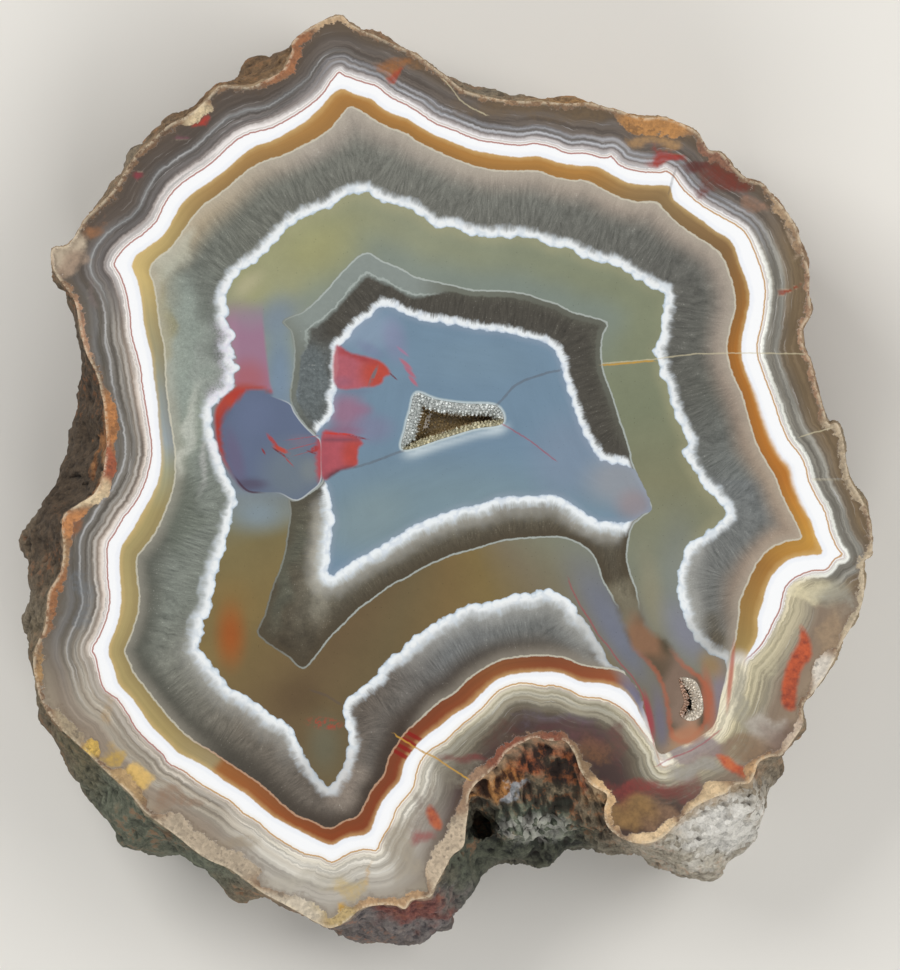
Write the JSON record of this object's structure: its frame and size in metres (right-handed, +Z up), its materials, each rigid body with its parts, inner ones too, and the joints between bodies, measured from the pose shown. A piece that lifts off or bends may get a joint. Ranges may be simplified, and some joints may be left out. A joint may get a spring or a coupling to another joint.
{
  "type": "agate slice",
  "caption": "Thick slab cut from a fortification agate nodule, with one polished banded face, a sawn back, a rough rind and a small crystal-lined hollow.",
  "frame": {"origin": "on the sawn back, below the middle of the outline", "axes": "+Z up, out of the polished face; +Y towards the pointed end of the slice; +X towards its blunt right side"},
  "size_m": [0.1071, 0.1165, 0.024],
  "materials": {
    "agate": "polished face, sawn back, rough rind",
    "vug_crystals": "small glassy quartz points",
    "pocket_crystals": "small glassy quartz points"
  },
  "bodies": {
    "root": {"agate_slice": "agate", "centre_vug_crystals": "vug_crystals", "small_pocket_crystals": "pocket_crystals"}
  },
  "joints": []
}
